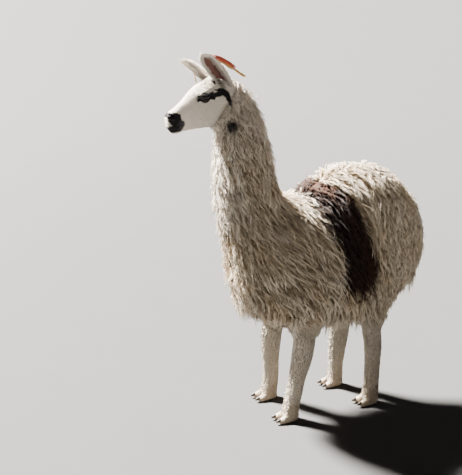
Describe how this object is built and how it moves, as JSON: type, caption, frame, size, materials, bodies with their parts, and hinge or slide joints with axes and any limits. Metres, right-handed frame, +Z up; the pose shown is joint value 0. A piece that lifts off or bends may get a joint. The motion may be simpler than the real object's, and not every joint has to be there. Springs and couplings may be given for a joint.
{
  "type": "llama",
  "caption": "Standing adult llama in full fleece with a dark saddle band, a still life-size model with wool ear tassels.",
  "frame": {"origin": "on the floor under the middle of the animal", "axes": "+X the way it faces, +Y its left side, +Z up"},
  "size_m": [1.3424, 0.5236, 1.7585],
  "materials": {
    "fleece": "long stringy wool, creamy white with a dark-brown saddle band",
    "short_coat": "short flat white hair, dark grey at the muzzle",
    "ear_coat": "short hair, pinkish-brown inside with white fringes",
    "eye": "wet and glossy, almost black",
    "nail": "dark horn",
    "red_yarn": "orange-red wool yarn",
    "yellow_yarn": "yellow wool yarn"
  },
  "bodies": {
    "root": {"ear_left": "ear_coat", "ear_right": "ear_coat", "eye_left": "eye", "eye_right": "eye", "foot_fore_left": "short_coat", "foot_fore_right": "short_coat", "foot_hind_left": "short_coat", "foot_hind_right": "short_coat", "head": "short_coat", "leg_fore_left": "short_coat", "leg_fore_right": "short_coat", "leg_hind_left": "short_coat", "leg_hind_right": "short_coat", "nail_fore_left_inner": "nail", "nail_fore_left_outer": "nail", "nail_fore_right_inner": "nail", "nail_fore_right_outer": "nail", "nail_hind_left_inner": "nail", "nail_hind_left_outer": "nail", "nail_hind_right_inner": "nail", "nail_hind_right_outer": "nail", "neck": "fleece", "tail": "fleece", "tassel_left_end": "yellow_yarn", "tassel_left_wool": "red_yarn", "tassel_right": "yellow_yarn", "trunk": "fleece"}
  },
  "joints": []
}
